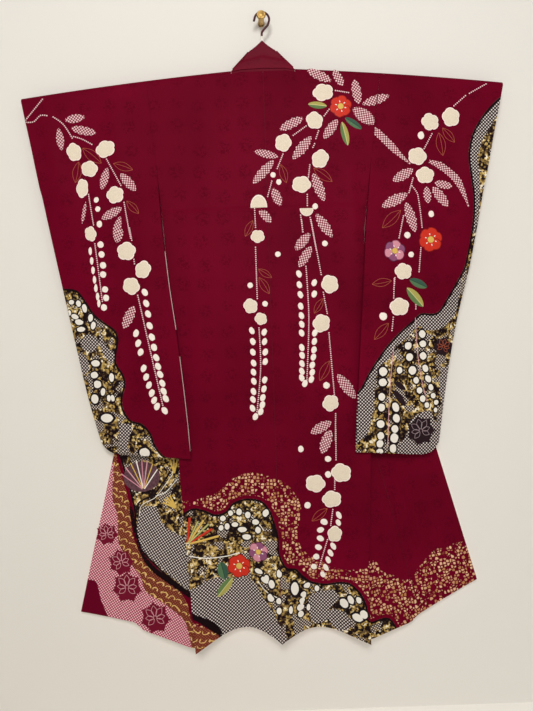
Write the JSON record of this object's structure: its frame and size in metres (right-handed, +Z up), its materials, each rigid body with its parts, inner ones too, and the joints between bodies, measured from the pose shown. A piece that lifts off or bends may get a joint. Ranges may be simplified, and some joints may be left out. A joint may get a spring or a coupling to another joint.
{
  "type": "furisode on a hanger and wall peg",
  "caption": "Long-sleeved formal silk kimono hung open, back to the room, on a bar hanger from a wall peg.",
  "frame": {"origin": "centre of the peg's back face, on the wall plane", "axes": "+Z up, +Y into the wall, +X to the right of someone facing the wall, which is the wearer's right side"},
  "size_m": [1.3259, 0.0673, 1.7615],
  "materials": {
    "silk": "crimson figured silk with a decorated hem and sleeves",
    "collar_silk": "plain crimson figured silk",
    "brass": "satin brass",
    "wire": "dark maroon vinyl-coated wire",
    "white_plastic": "white moulded plastic",
    "bar": "dark moulded plastic"
  },
  "bodies": {
    "root": {"body_left": "silk", "body_right": "silk", "overlap_left": "silk", "overlap_right": "silk", "sleeve_left": "silk", "sleeve_right": "silk", "collar": "collar_silk", "collar_cover": "collar_silk", "hanger_bar": "bar", "hanger_ferrule": "white_plastic", "hanger_hook": "wire", "peg_base": "brass", "peg_stem": "brass", "peg_head": "brass"}
  },
  "joints": []
}
